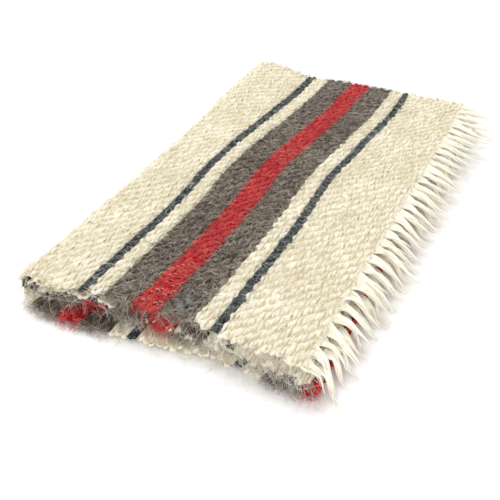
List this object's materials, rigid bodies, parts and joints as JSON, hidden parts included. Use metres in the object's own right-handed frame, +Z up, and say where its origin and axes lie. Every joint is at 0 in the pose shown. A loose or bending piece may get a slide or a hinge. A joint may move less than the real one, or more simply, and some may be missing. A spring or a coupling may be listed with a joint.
{
  "type": "folded wool blanket",
  "caption": "Handwoven striped wool blanket lying folded flat in nested layers, with a wide rounded fold on one side and loose warp fringe on the other.",
  "frame": {"origin": "middle of the bounding box, at the floor", "axes": "+Z up, +Y along the stripes, from the near selvages to the far ones, +X from the wide fold towards the fringe"},
  "size_m": [0.3406, 0.5238, 0.0381],
  "materials": {
    "woven_wool": "matte hairy handwoven wool, cream with woven stripes",
    "undyed_wool_yarn": "matte soft undyed wool yarn"
  },
  "bodies": {
    "root": {"blanket": "woven_wool", "fringe_upper": "undyed_wool_yarn", "fringe_lower": "undyed_wool_yarn"}
  },
  "joints": []
}
